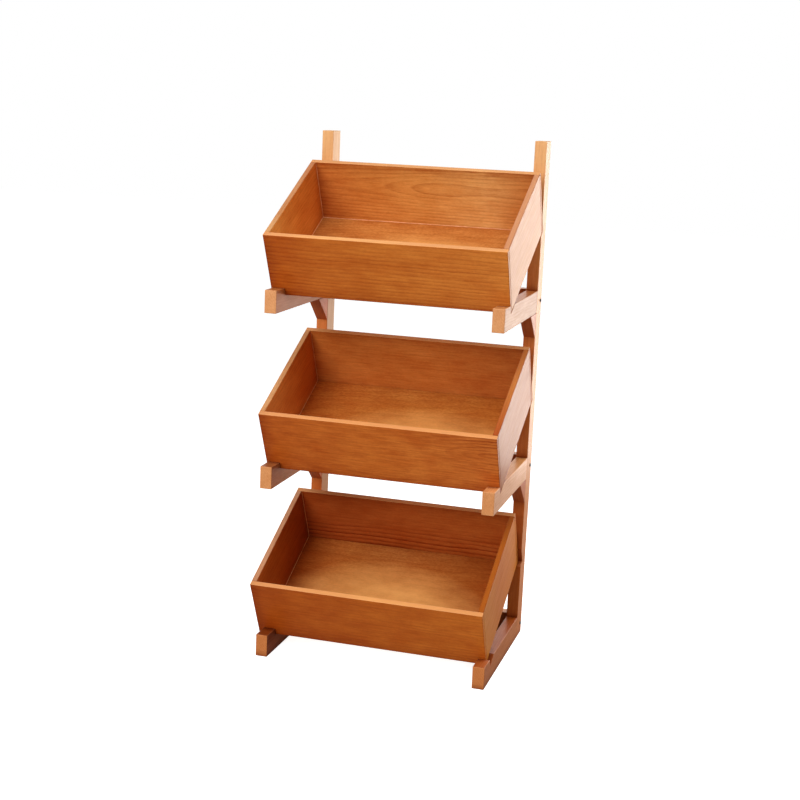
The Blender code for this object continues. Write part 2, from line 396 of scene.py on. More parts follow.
# Relief and gloss
BUMP_DISTANCE = 0.0004
BUMP_STRENGTH = 0.10
RING_RELIEF = 0.5
FIBRE_RELIEF = -0.6
ROUGHNESS = 0.42
FIBRE_ROUGHNESS = 0.08
RING_ROUGHNESS = 0.06
EDGE_ROUGHNESS = 0.40
END_ROUGHNESS = 0.10
COAT_WEIGHT = 0.10
COAT_ROUGHNESS = 0.22
SPECULAR_LEVEL = 0.12
SPECULAR_TINT = (1.0, 0.60, 0.35, 1.0)

# A place on a board and the kind of face it is on, and the grain there
Surface = namedtuple("Surface", "board along across place_along end rim second")
Grain = namedtuple("Grain", "rings fibres specks clouds")


def into_board(tree, vector, origin, rotation):
    """A place or direction of the whole stand in a board's own axes."""
    node = tree.nodes.new("ShaderNodeMapping")
    node.vector_type = "TEXTURE"
    feed(tree, vector, node.inputs["Vector"])
    node.inputs["Location"].default_value = origin
    node.inputs["Rotation"].default_value = rotation
    return node.outputs["Vector"]


def grain_rotation(along, across):
    """Turns a board whose X lies along the grain and Y across its broad face."""
    return Matrix((along, across, along.cross(across))).transposed().to_euler()


def facing(tree, component):
    """1 on the faces square to an axis, from that component of the normal."""
    return rescale(tree, component, *FACING_RANGE, 0, 1)


def surface_of(tree, board_kind, origin):
    """Where a point lies on its board and which of the board's faces it is on."""
    rotation = grain_rotation(board_kind.along, board_kind.across)
    coordinates = tree.nodes.new("ShaderNodeTexCoord").outputs
    board = into_board(tree, coordinates["Object"], origin, rotation)
    along, across, _ = axes_of(tree, board)
    normal = into_board(tree, coordinates["Normal"], (0, 0, 0), rotation)
    end_facing, narrow_facing, broad_facing = axes_of(tree, normal)
    half_length = board_kind.length / 2
    return Surface(
        board=board, along=along, across=across,
        place_along=rescale(tree, along, -half_length, half_length, 0, 1),
        end=facing(tree, maths(tree, "ABSOLUTE", end_facing)),
        rim=facing(tree, maths(tree, "ABSOLUTE", narrow_facing)),
        second=facing(tree, broad_facing),
    )


def grain_on(tree, surface, cut, seed):
    """The grain that a cut shows, each feature from 0 to 1."""
    node = tree.nodes.new("ShaderNodeGroup")
    node.node_tree = WOOD_GRAIN
    feed(tree, surface.board, node.inputs["Board"])
    sawn = (cut.heart_side, cut.heart_depth, cut.lean, cut.ring_width, cut.wander)
    for label, value in zip(GRAIN_INPUTS, (*sawn, *cut.island, seed)):
        node.inputs[label].default_value = value
    at_middle, more_along, more_across = cut.fade
    shown = weighted(tree, ((surface.along, more_along), (surface.across, more_across)), at_middle)
    made = node.outputs
    return Grain(
        rings=maths(tree, "MULTIPLY", made["Rings"], rescale(tree, shown, 0, 1, 0, cut.figure)),
        fibres=rescale(tree, made["Fibres"], *MIDDLE_NOISE, 0, 1),
        specks=rescale(tree, made["Specks"], *MIDDLE_NOISE, 0, 1),
        clouds=rescale(tree, made["Clouds"], *WIDER_NOISE, 0, 1),
    )


def edge_nearness(tree):
    """0 on a board's flats, rising to 1 along its edges."""
    rounded = tree.nodes.new("ShaderNodeBevel")
    rounded.samples = EDGE_NEARNESS_SAMPLES
    rounded.inputs["Radius"].default_value = EDGE_NEARNESS_RADIUS
    plain = tree.nodes.new("ShaderNodeNewGeometry")
    agreement = tree.nodes.new("ShaderNodeVectorMath")
    agreement.operation = "DOT_PRODUCT"
    feed(tree, rounded.outputs["Normal"], agreement.inputs[0])
    feed(tree, plain.outputs["Normal"], agreement.inputs[1])
    return rescale(tree, agreement.outputs["Value"], 1.0, EDGE_NEARNESS_FACING, 0, 1)


def edge_lines(tree, surface, grain, timber, board_kind):
    """Painted highlights and dark lines along edges: an edge holds a dark line, partly staining and partly
    painted shade, but the edges at a rim take a painted highlight instead.
    """
    worn = edge_nearness(tree)
    half_width = board_kind.width / 2
    at_rim = 0.0
    if timber.edge_pale:
        at_rim = rescale(tree, surface.across, half_width - RIM_REACH, half_width, 0, 1)
    cleared = rescale(tree, grain.clouds, 0, 1, 1, CLOUDED_EDGE)
    # Painted highlight along the edges at a rim
    highlight_line = maths(tree, "MULTIPLY", maths(tree, "MULTIPLY", worn, at_rim), cleared)
    # Dark line along the other edges, partly staining and partly painted shade
    stain_and_shade_line = maths(tree, "MULTIPLY", worn, maths(tree, "SUBTRACT", 1.0, at_rim))
    return highlight_line, stain_and_shade_line


def painted_crevice_shade(tree):
    """Painted shade: 0 on open faces, rising to 1 in the corners where boards meet."""
    openness = tree.nodes.new("ShaderNodeAmbientOcclusion")
    openness.samples = CREVICE_SAMPLES
    openness.inputs["Distance"].default_value = CREVICE_REACH
    return rescale(tree, openness.outputs["AO"], *CREVICE_OPENNESS, 0, 1)


def pool_of_light(tree, surface, board_kind, centre):
    """Painted light: 1 about the centre of a pool of light on a broad face, falling to 0 half a length and
    half a width away.
    """
    offsets = []
    sizes = (board_kind.length, board_kind.width)
    for value, middle, size in zip((surface.along, surface.across), centre, sizes):
        offsets.append(maths(tree, "DIVIDE", maths(tree, "SUBTRACT", value, middle), size / 2))
    return rescale(tree, sum_of_squares(tree, *offsets), 0, 1, 1, 0)


def near_edge_shade(tree, surface, board_kind):
    """Painted shade: 1 at a board's first end and one long edge, falling to 0 a little way in."""
    from_end = maths(tree, "ADD", surface.along, board_kind.length / 2)
    from_edge = maths(tree, "MULTIPLY_ADD", surface.across, -board_kind.stained_edge, board_kind.width / 2)
    nearness = rescale(tree, maths(tree, "MINIMUM", from_end, from_edge), 0, NEAR_EDGE_SHADE_REACH, 1, 0)
    return maths(tree, "MULTIPLY", nearness, nearness)


def evenly(shares):
    """Stops for a ramp, evenly spaced."""
    return [(place / max(len(shares) - 1, 1), share) for place, share in enumerate(shares)]


def stain_and_shading_tone(tree, stain_and_shading, surface):
    """Colour shares of staining and of painted light and shade over a board."""
    tone = ramp(tree, surface.place_along, evenly(stain_and_shading.along))
    for shares, face in ((stain_and_shading.second, surface.second), (stain_and_shading.rim, surface.rim)):
        if shares:
            tone = mixed(tree, face, tone, ramp(tree, surface.place_along, evenly(shares)))
    if stain_and_shading.end:
        tone = mixed(tree, surface.end, tone, (*stain_and_shading.end, 1))
    return tone


def grain_colour(tree, timber, board_kind, surface, grain, stain_and_shade_line):
    """A timber's colour, from early wood to late, darkened by painted shade near one end and one long edge
    and by dark edge lines of staining and painted shade, under clouds of golden and reddish staining.
    """
    dark = weighted(tree, (
        (grain.rings, timber.ring_share),
        (grain.fibres, timber.fibre_share),
        (grain.specks, timber.speck_share),
        # Painted shade near the first end and one long edge
        (near_edge_shade(tree, surface, board_kind), timber.gathered_share),
        # Dark edge lines, partly staining and partly painted shade
        (stain_and_shade_line, timber.edge_dark),
    ))
    colour = mixed(tree, maths(tree, "MINIMUM", dark, 1.0), timber.early, timber.late)
    cloud_tone = mixed(tree, grain.clouds, GOLDEN, REDDISH)
    return mixed(tree, timber.cloud_share, colour, cloud_tone, blend="MULTIPLY")


def painted_light(tree, timber, stain_and_shading, board_kind, surface, grain, highlight_line):
    """How far the colour is taken to the pale colour of painted light: highlights along edges and on rims,
    and a pool of light about its centre.
    """
    cleared = rescale(tree, grain.clouds, 0, 1, 1, CLOUDED_LIGHT_POOL)
    rubbed = maths(tree, "MULTIPLY", pool_of_light(tree, surface, board_kind, stain_and_shading.rubbed), cleared)
    pale = weighted(tree, (
        # Painted highlight along the edges at a rim
        (highlight_line, timber.edge_pale),
        # Painted highlight on the rims
        (surface.rim, timber.rim_share),
        # A painted pool of light
        (rubbed, timber.rubbed_share),
    ))
    return maths(tree, "MINIMUM", pale, 1.0)


def wood_relief(tree, grain):
    """The normal of a surface on which rings stand up and fibres are open."""
    bump = tree.nodes.new("ShaderNodeBump")
    bump.inputs["Strength"].default_value = BUMP_STRENGTH
    bump.inputs["Distance"].default_value = BUMP_DISTANCE
    height = weighted(tree, ((grain.rings, RING_RELIEF), (grain.fibres, FIBRE_RELIEF)))
    feed(tree, height, bump.inputs["Height"])
    return bump.outputs["Normal"]


def wood_material(name, timber, cut, board_kind, stain_and_shading, seed, origin):
    """Stained and lacquered wood for one board, with painted light and shade in its colour."""
    material, tree, shader = new_material(name)
    surface = surface_of(tree, board_kind, origin)
    grain = grain_on(tree, surface, cut, seed)
    # Painted highlights at a rim's edges, and dark edge lines of staining and painted shade
    highlight_line, stain_and_shade_line = edge_lines(tree, surface, grain, timber, board_kind)

    colour = grain_colour(tree, timber, board_kind, surface, grain, stain_and_shade_line)
    # Staining and painted light and shade, as shares of the colour
    colour = mixed(tree, 1.0, colour, stain_and_shading_tone(tree, stain_and_shading, surface), blend="MULTIPLY")
    # Painted shade in the corners where pieces meet
    crevice_shade = maths(tree, "MULTIPLY", painted_crevice_shade(tree), timber.crevice_share)
    colour = mixed(tree, crevice_shade, colour, CREVICE_SHADE, blend="MULTIPLY")
    pale = painted_light(tree, timber, stain_and_shading, board_kind, surface, grain, highlight_line)
    # Painted highlights and a painted pool of light, mixed towards the pale colour
    feed(tree, mixed(tree, pale, colour, timber.worn), shader.inputs["Base Color"])

    roughness = weighted(tree, (
        (grain.fibres, FIBRE_ROUGHNESS),
        (grain.rings, RING_ROUGHNESS),
        (stain_and_shade_line, EDGE_ROUGHNESS),
        (surface.end, END_ROUGHNESS),
    ), ROUGHNESS)
    feed(tree, roughness, shader.inputs["Roughness"])
    feed(tree, wood_relief(tree, grain), shader.inputs["Normal"])
    shader.inputs["Specular IOR Level"].default_value = SPECULAR_LEVEL
    shader.inputs["Specular Tint"].default_value = SPECULAR_TINT
    shader.inputs["Coat Weight"].default_value = COAT_WEIGHT
    shader.inputs["Coat Roughness"].default_value = COAT_ROUGHNESS
    return material


# Boards and their grain directions

# The last field gives the long edge that takes painted shade: -1 the edge at the low end of the across axis,
# 1 the other
Board = namedtuple("Board", "along across length width stained_edge", defaults=(-1,))

X, Y, Z = Vector((1, 0, 0)), Vector((0, 1, 0)), Vector((0, 0, 1))
BIN_Y = Vector((0, math.cos(BIN_TILT), math.sin(BIN_TILT)))
BIN_Z = Vector((0, -math.sin(BIN_TILT), math.cos(BIN_TILT)))
BRACE_SLOPE = Vector((0, BRACE_REACH, -BRACE_DROP))

BIN_FRONT = Board(along=X, across=BIN_Z, length=BIN_WIDTH, width=BIN_HEIGHT)
# A back's painted shade runs along its top edge, a front's along its bottom edge
BIN_BACK = BIN_FRONT._replace(stained_edge=1)
BIN_SIDE = Board(along=BIN_Y, across=BIN_Z, length=BIN_DEPTH, width=BIN_HEIGHT)
BIN_BASE = Board(along=X, across=BIN_Y, length=BIN_WIDTH, width=BIN_DEPTH)
POST = Board(along=Z, across=Y, length=POST_HEIGHT, width=STOCK_WIDTH)
ARM = Board(along=Y, across=Z, length=ARM_LENGTH, width=STOCK_WIDTH)
RAIL = Board(along=X, across=Z, length=RAIL_LENGTH, width=STOCK_WIDTH)
BRACE = Board(
    along=BRACE_SLOPE.normalized(), across=BRACE_SLOPE.cross(X).normalized(),
    length=BRACE_SLOPE.length, width=STOCK_WIDTH,
)

# How the single boards were sawn and stained, and the light and shade painted on them
FRONT_WOOD = {"upper": FRONT_TIMBER, "middle": MOTTLED_FRONT_TIMBER, "lower": FRONT_TIMBER}
FRONT_CUT = {"upper": STRAIGHT, "middle": ARCHED_END, "lower": PLAIN}
BACK_CUT = {"upper": LOOPED, "middle": PLAIN, "lower": STREAKED}
# Fronts: darker towards the left end and paler towards the right, the lower front darkest
FRONT_STAIN_AND_SHADING = {
    "upper": ((0.86, 0.60, 0.42), (1.09, 1.07, 1.05), (1.20, 1.27, 1.42)),
    "middle": ((0.93, 0.66, 0.55), (1.12, 0.98, 0.95), (1.18, 1.06, 1.24)),
    "lower": ((0.86, 0.52, 0.32), (1.03, 0.78, 0.54), (1.16, 1.02, 0.78)),
}
# Front rims: the paler stops are painted highlights
FRONT_RIM_STAIN_AND_SHADING = {
    "upper": ((0.95, 0.80, 0.75), (1.10, 1.55, 2.20), (0.86, 0.84, 1.20), (0.80, 0.75, 0.80)),
    "middle": ((0.85, 0.65, 0.50), (1.10, 1.10, 1.10), (1.10, 1.05, 1.05)),
    "lower": ((0.85, 0.60, 0.50), (1.20, 1.50, 1.90), (1.05, 1.00, 0.80)),
}
# Backs: the upper back paler towards its right as painted light and darker at its right end as the painted
# shadow of the right side; the lower back darker as painted shade
BACK_STAIN_AND_SHADING = {
    "upper": (
        (1.06, 1.12, 1.60), (1.10, 1.36, 2.00), (1.20, 1.72, 2.90), (1.38, 2.40, 5.40), (0.94, 1.02, 1.40),
    ),
    "middle": ((1.12, 1.20, 1.65), (1.14, 1.27, 1.82), (0.98, 0.98, 1.45)),
    "lower": ((0.82, 0.56, 0.72), (1.01, 0.94, 1.26)),
}
# Bases: paler in the middle than at the ends as painted light and shade, most on the lower base; the upper
# base paler all over as painted light
BASE_STAIN_AND_SHADING = {
    "upper": Stain(((1.10, 1.50, 2.30),), rubbed=(0.02, -0.05)),
    "middle": Stain(((1.04, 1.05, 1.10), (1.12, 1.52, 1.98), (1.00, 1.15, 1.25)), rubbed=(0.06, -0.07)),
    "lower": Stain(
        ((0.78, 0.56, 0.44), (1.08, 1.35, 1.85), (1.08, 1.40, 2.10), (0.88, 1.02, 1.32), (0.64, 0.50, 0.40)),
        rubbed=(-0.01, -0.06),
    ),
}
# End faces of fronts and backs: the upper ones paler as painted glare, the middle ones darker
END_STAIN_AND_SHADING = {"upper": (0.95, 1.15, 1.75), "middle": (0.78, 0.68, 0.46), "lower": (1.08, 1.10, 0.80)}
# Left sides: inner faces paler at the front as painted light and darker towards the back as painted shade,
# the lower one darkest; rims with painted highlights
LEFT_SIDE_STAIN_AND_SHADING = {
    "upper": Stain(
        ((1.55, 2.15, 3.10), (1.20, 1.22, 1.28), (0.90, 0.74, 0.66)),
        rim=((1.00, 1.65, 4.40), (0.82, 1.02, 2.70)),
    ),
    "middle": Stain(((1.50, 1.85, 2.90), (1.24, 1.26, 1.50), (0.98, 0.80, 0.76)), rim=((1.00, 1.62, 4.50),)),
    "lower": Stain(((0.88, 0.64, 0.46), (0.70, 0.46, 0.34), (0.56, 0.36, 0.26)), rim=((0.92, 1.45, 5.20),)),
}
# Right sides: the upper one paler and less red as a painted sheen, with a painted highlight on its rim; the
# middle one and the lower rim darker
RIGHT_SIDE_STAIN_AND_SHADING = {
    "upper": Stain(((0.87, 1.06, 1.60),), rim=((0.92, 1.32, 4.20),)),
    "middle": Stain(((0.60, 0.52, 0.36),), rim=((0.66, 0.42, 0.60), (0.85, 0.95, 1.60), (0.80, 0.85, 1.50))),
    "lower": Stain(((0.98, 1.12, 0.82), (0.92, 0.82, 0.42), (1.06, 1.12, 0.98)), rim=((0.66, 0.56, 0.44),)),
}
# Posts' front and back faces, from the foot up: darker low down as painted shade under the bins, paler at the
# top as painted light
POST_FACE_STAIN_AND_SHADING = (
    (0.74, 0.40, 0.18), (0.82, 0.50, 0.28), (0.90, 0.62, 0.42), (0.97, 0.75, 0.57), (1.01, 1.22, 1.36),
)
# Post faces square to X: darker low down as painted shade, paler towards the top as a painted sheen
POST_SIDE_STAIN_AND_SHADING = (
    (0.80, 0.58, 0.45), (0.92, 0.80, 0.74), (1.00, 1.02, 1.05), (1.00, 1.10, 1.20), (1.01, 1.22, 1.36),
)
# The left post's inner face: darker low down as painted shade, pale at the top as a painted sheen
LEFT_POST_INSIDE_STAIN_AND_SHADING = (
    (0.60, 0.56, 0.52), (0.62, 0.72, 0.88), (0.64, 0.86, 1.20), (0.76, 1.10, 1.66), (1.20, 1.75, 2.70),
)
POST_STAIN_AND_SHADING = {
    "left": Stain(LEFT_POST_INSIDE_STAIN_AND_SHADING, rim=POST_FACE_STAIN_AND_SHADING, second=POST_SIDE_STAIN_AND_SHADING),
    "right": Stain(POST_SIDE_STAIN_AND_SHADING, rim=POST_FACE_STAIN_AND_SHADING),
}
# Arm ends, darker down the tiers as painted shade
ARM_END_STAIN_AND_SHADING = {"upper": (0.94, 0.97, 1.08), "middle": (0.94, 0.90, 0.90), "lower": (0.86, 0.67, 0.54)}
# Arm sides, front to back: darkened as painted shadow under the bins, most on the lower left, and the middle
# right one paler as a painted sheen
ARM_STAIN_AND_SHADING = {
    "left": {
        "upper": ((0.60, 0.47, 0.33), (0.68, 0.62, 0.54)),
        "middle": ((0.46, 0.32, 0.23), (0.84, 0.84, 0.88)),
        "lower": ((0.30, 0.14, 0.06),),
    },
    "right": {
        "upper": ((0.72, 0.72, 0.76), (0.56, 0.53, 0.55)),
        "middle": ((1.04, 1.18, 1.70), (1.16, 1.44, 2.30)),
        "lower": ((0.66, 0.46, 0.34), (0.72, 0.53, 0.37)),
    },
}
# Tops of the right arms, the upper and lower ones darker as painted shade
RIGHT_ARM_TOP_STAIN_AND_SHADING = {
    "upper": ((0.72, 0.70, 0.66), (0.80, 0.62, 0.40)),
    "middle": ((1.02, 0.98, 0.95), (1.10, 1.20, 1.10)),
    "lower": ((0.50, 0.27, 0.13), (0.55, 0.26, 0.07)),
}
# Braces darkened as painted shadow under the bins
BRACE_SHADE = Stain(((0.66, 0.37, 0.23),))
# Rails, their front faces darkened as painted shade under the bins
RAIL_FRONT_SHADE = Stain(((1, 1, 1),), second=((0.65, 0.48, 0.38),))

# Seeds are numbered in blocks, so that each board has grain of its own
SEED_BLOCK = 10
FRAME_SEED = 50
BRACE_SEED = 5
RAIL_SEED = 80


def node_centre(node):
    low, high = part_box(node)
    return (low + high) / 2


def dress(node, timber, cut, board_kind, stain_and_shading, seed):
    """Gives a packed board its own wood."""
    material = wood_material(node, timber, cut, board_kind, stain_and_shading, seed, node_centre(node))
    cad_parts[node].data.materials[0] = material


def dress_bins():
    for level, tier in enumerate(TIERS):
        front_stain_and_shading = Stain(FRONT_STAIN_AND_SHADING[tier], FRONT_RIM_STAIN_AND_SHADING[tier], END_STAIN_AND_SHADING[tier])
        back_stain_and_shading = Stain(BACK_STAIN_AND_SHADING[tier], end=END_STAIN_AND_SHADING[tier])
        boards = (
            ("front", FRONT_WOOD[tier], FRONT_CUT[tier], BIN_FRONT, front_stain_and_shading),
            ("back", BIN_TIMBER, BACK_CUT[tier], BIN_BACK, back_stain_and_shading),
            ("side_left", SIDE_TIMBER, PLAIN, BIN_SIDE, LEFT_SIDE_STAIN_AND_SHADING[tier]),
            ("side_right", SMOOTH_SIDE_TIMBER, STRAIGHT, BIN_SIDE, RIGHT_SIDE_STAIN_AND_SHADING[tier]),
            ("base", PLY_TIMBER, PEELED, BIN_BASE, BASE_STAIN_AND_SHADING[tier]),
        )
        for place, (piece, *wood) in enumerate(boards, start=1):
            dress(f"bin_{tier}_{piece}", *wood, seed=SEED_BLOCK * level + place)


def dress_frame():
    for side, outward in SIDES.items():
        seed = FRAME_SEED + SEED_BLOCK * outward
        dress(f"post_{side}", FRAME_TIMBER, STICK, POST, POST_STAIN_AND_SHADING[side], seed)
        for place, tier in enumerate(TIERS, start=1):
            top = RIGHT_ARM_TOP_STAIN_AND_SHADING[tier] if side == "right" else None
            stain_and_shading = Stain(ARM_STAIN_AND_SHADING[side][tier], top, ARM_END_STAIN_AND_SHADING[tier])
            dress(f"arm_{tier}_{side}", FRAME_TIMBER, STICK, ARM, stain_and_shading, seed + place)
        for place, tier in enumerate(BRACED_TIERS, start=BRACE_SEED):
            dress(f"brace_{tier}_{side}", FRAME_TIMBER, STICK, BRACE, BRACE_SHADE, seed + place)
    for seed, tier in enumerate(TIERS, start=RAIL_SEED):
        dress(f"rail_{tier}", FRAME_TIMBER, STICK, RAIL, RAIL_FRONT_SHADE, seed)


dress_bins()
dress_frame()


# Screws

THREAD_PITCH = 0.0028
THREAD_ROWS = 4
THREAD_CORE = 0.70
THREAD_RIDGE = 0.30
SCREW_SIDES = 16
POINT_LENGTH_RATIO = 2.0
HEAD_RISE = 0.0022
HEAD_SHOULDER = 0.92
HEAD_TOP = 0.74
RIM_CHAMFER = 0.0002
RECESS_REACH = 0.62
RECESS_WIDTH = 0.19
RECESS_TAPER = 0.55
RECESS_DEPTH = 0.40
SLOT_TURN = math.radians(37)
SMOOTH_ANGLE = math.radians(35)
COATING_SCALE = 900
COATING_DARK = tint(34, 28, 24)
COATING_PALE = tint(58, 46, 38)
COATING_ROUGHNESS = (0.70, 0.90)
COATING_SPECULAR_LEVEL = 0.1


def steel_material():
    """Screws with a dull black coating."""
    material, tree, shader = new_material("screw_coating")
    coating = even_noise(tree, COATING_SCALE)
    colour = mixed(tree, rescale(tree, coating, *MIDDLE_NOISE, 0, 1), COATING_DARK, COATING_PALE)
    feed(tree, colour, shader.inputs["Base Color"])
    feed(tree, rescale(tree, coating, *WIDER_NOISE, *COATING_ROUGHNESS), shader.inputs["Roughness"])
    shader.inputs["Specular IOR Level"].default_value = COATING_SPECULAR_LEVEL
    return material


def ring_of(solid, radii, height):
    """Points about Z at one height, one for each radius."""
    step = 2 * math.pi / len(radii)
    return [
        solid.verts.new((radius * math.cos(step * i), radius * math.sin(step * i), height))
        for i, radius in enumerate(radii)
    ]


def round_ring(solid, radius, height):
    return ring_of(solid, [radius] * SCREW_SIDES, height)


def join_rings(solid, upper, lower):
    for i in range(len(upper)):
        solid.faces.new((upper[i - 1], lower[i - 1], lower[i], upper[i]))


def loop_edges(solid, points):
    return [solid.edges.new((points[i - 1], points[i])) for i in range(len(points))]


def cross_outline(reach, half_width):
    """The twelve corners of a cross, anticlockwise from the arm along X."""
    corners = []
    quarter = [(reach, -half_width), (reach, half_width), (half_width, half_width)]
    for _ in range(4):
        corners += quarter
        quarter = [(-y, x) for x, y in quarter]
    return corners


def thread_radii(shank_radius, height):
    """Radii round the shank at a height, with a ridge that climbs one pitch in each turn."""
    radii = []
    for i in range(SCREW_SIDES):
        place = (height / THREAD_PITCH - i / SCREW_SIDES) % 1
        ridge = max(0, 1 - abs(place - 0.5) / THREAD_RIDGE)
        radii.append(shank_radius * (THREAD_CORE + (1 - THREAD_CORE) * ridge))
    return radii


def head_top(solid, head_radius):
    """The flat top of a raised head with a cross recess in it. Gives back the ring round it."""
    top = round_ring(solid, HEAD_TOP * head_radius, HEAD_RISE)
    outline = cross_outline(RECESS_REACH * head_radius, RECESS_WIDTH * head_radius)
    slot_top = [solid.verts.new((x, y, HEAD_RISE)) for x, y in outline]
    edges = loop_edges(solid, top) + loop_edges(solid, slot_top)
    bmesh.ops.triangle_fill(solid, edges=edges, use_beauty=True)
    floor_height = HEAD_RISE - RECESS_DEPTH * head_radius
    slot_floor = [solid.verts.new((RECESS_TAPER * x, RECESS_TAPER * y, floor_height)) for x, y in outline]
    join_rings(solid, slot_top, slot_floor)
    solid.faces.new(slot_floor)
    return top


def shank_rings(solid, length, head_radius, shank_radius):
    """Rings from a head's shoulder down the thread to where the point starts."""
    neck = shank_radius - head_radius
    point = POINT_LENGTH_RATIO * shank_radius - length
    rings = [
        round_ring(solid, HEAD_SHOULDER * head_radius, HEAD_RISE / 2),
        round_ring(solid, head_radius, -RIM_CHAMFER),
        round_ring(solid, shank_radius, neck),
    ]
    rows = math.floor((neck - point) / THREAD_PITCH * THREAD_ROWS)
    for row in range(1, rows + 1):
        height = neck - row * THREAD_PITCH / THREAD_ROWS
        rings.append(ring_of(solid, thread_radii(shank_radius, height), height))
    return rings


def screw_mesh(name, length, head_radius, shank_radius, material):
    """A screw along -Z from its head's seat, with a raised head, a cross recess and a thread."""
    solid = bmesh.new()
    rings = [head_top(solid, head_radius), *shank_rings(solid, length, head_radius, shank_radius)]
    for upper, lower in zip(rings, rings[1:]):
        join_rings(solid, upper, lower)
    tip = solid.verts.new((0, 0, -length))
    for i in range(SCREW_SIDES):
        solid.faces.new((rings[-1][i - 1], tip, rings[-1][i]))
    bmesh.ops.recalc_face_normals(solid, faces=solid.faces)

    mesh = bpy.data.meshes.new(name)
    solid.to_mesh(mesh)
    solid.free()
    mesh.shade_smooth()
    mesh.set_sharp_from_angle(angle=SMOOTH_ANGLE)
    mesh.materials.append(material)
    return mesh


def add_screw(node, mesh, outward, slot_turn):
    """Stands a detailed screw in a packed screw's place, with its head facing outward."""
    low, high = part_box(node)
    head = node_centre(node) + outward * abs((high - low).dot(outward)) / 2
    piece = bpy.data.objects.new(f"{node}_threaded", mesh)
    bpy.context.scene.collection.objects.link(piece)
    tilt = outward.to_track_quat("Z", "Y").to_matrix().to_4x4()
    piece.matrix_world = Matrix.Translation(head) @ tilt @ Matrix.Rotation(slot_turn, 4, "Z")
    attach(piece, "frame")
    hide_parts(node)


def add_screws():
    steel = steel_material()
    rail_screw = screw_mesh(
        "rail_screw", RAIL_SCREW_LENGTH, RAIL_SCREW_HEAD_RADIUS, RAIL_SCREW_SHANK_RADIUS, steel,
    )
    arm_screw = screw_mesh(
        "arm_screw", ARM_SCREW_LENGTH, ARM_SCREW_HEAD_RADIUS, ARM_SCREW_SHANK_RADIUS, steel,
    )
    driven = itertools.count()
    for tier in TIERS:
        for side, outward in SIDES.items():
            add_screw(f"rail_screw_{tier}_{side}", rail_screw, X * outward, SLOT_TURN * next(driven))
            for place in ("low", "high"):
                add_screw(f"arm_screw_{tier}_{side}_{place}", arm_screw, Y, SLOT_TURN * next(driven))


add_screws()


# Glue lines along the bins' inner corners

GLUE_RADIUS = 0.0010
GLUE_STEP = 0.02
GLUE_SWELL = 0.25
GLUE_BEAT = 1.7
GLUE_DRIFT = 90
GLUE_RIM_GAP = 0.004
GLUE_SCALE = 70
GLUE_PALE = tint(230, 165, 115)
GLUE_DARK = tint(205, 132, 84)
GLUE_ROUGHNESS = (0.50, 0.65)

# Which seams round a base show glue: front, left, back, right
GLUED_SEAMS = {
    "upper": (True, True, True, True),
    "middle": (False, True, False, True),
    "lower": (False, True, False, True),
}


def glue_material():
    """Pale dried glue, a little uneven in colour and gloss."""
    material, tree, shader = new_material("dried_glue")
    cloud = rescale(tree, even_noise(tree, GLUE_SCALE), *MIDDLE_NOISE, 0, 1)
    feed(tree, mixed(tree, cloud, GLUE_PALE, GLUE_DARK), shader.inputs["Base Color"])
    feed(tree, rescale(tree, cloud, 0, 1, *GLUE_ROUGHNESS), shader.inputs["Roughness"])
    return material


def add_bead(curve, start, end):
    """A bead of glue between two points, swelling and thinning along its length."""
    steps = max(2, round((end - start).length / GLUE_STEP))
    spline = curve.splines.new("POLY")
    spline.points.add(steps)
    for i, point in enumerate(spline.points):
        place = start.lerp(end, i / steps)
        point.co = (*place, 1)
        point.radius = 1 + GLUE_SWELL * math.sin(GLUE_BEAT * i + GLUE_DRIFT * place.z)


def add_glue_line(tier, material):
    """Beads along seams of a bin's base and up its four inner corners."""
    name = f"bin_{tier}_glue_line"
    curve = bpy.data.curves.new(name, "CURVE")
    curve.dimensions = "3D"
    curve.bevel_depth = GLUE_RADIUS
    curve.bevel_resolution = 1
    curve.use_fill_caps = True
    curve.materials.append(material)

    centre = node_centre(f"bin_{tier}_base") + BIN_Z * BASE_THICKNESS / 2
    across = X * (BIN_WIDTH / 2 - BOARD_THICKNESS)
    back = BIN_Y * (BIN_DEPTH / 2 - BOARD_THICKNESS)
    rise = BIN_Z * (BIN_HEIGHT - BASE_THICKNESS - GLUE_RIM_GAP)
    corners = [centre - across - back, centre - across + back, centre + across + back, centre + across - back]
    for i, corner in enumerate(corners):
        if GLUED_SEAMS[tier][i]:
            add_bead(curve, corners[i - 1], corner)
        add_bead(curve, corner, corner + rise)

    piece = bpy.data.objects.new(name, curve)
    bpy.context.scene.collection.objects.link(piece)
    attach(piece, f"bin_{tier}")


def add_glue_lines():
    glue = glue_material()
    for tier in TIERS:
        add_glue_line(tier, glue)


add_glue_lines()


# Studio

AMBIENT = 0.25
WARM_WHITE = (1.0, 0.93, 0.86)
FLOOR_REACH = 12.0
FLOOR_COLOUR = (0.35, 0.35, 0.35, 1.0)
FLOOR_SEEN_COLOUR = (0.90, 0.90, 0.90, 1.0)
FLOOR_WHITENING = 0.80
FLOOR_ROUGHNESS = 0.9
FLOOR_SPECULAR_LEVEL = 0.1


def look_matrix(position, forward, right):
    """A camera or lamp at a position, looking forward, with its picture's right side given."""
    up = right.cross(forward)
    turn = Matrix((right, up, -forward)).transposed()
    return Matrix.Translation(position) @ turn.to_4x4()


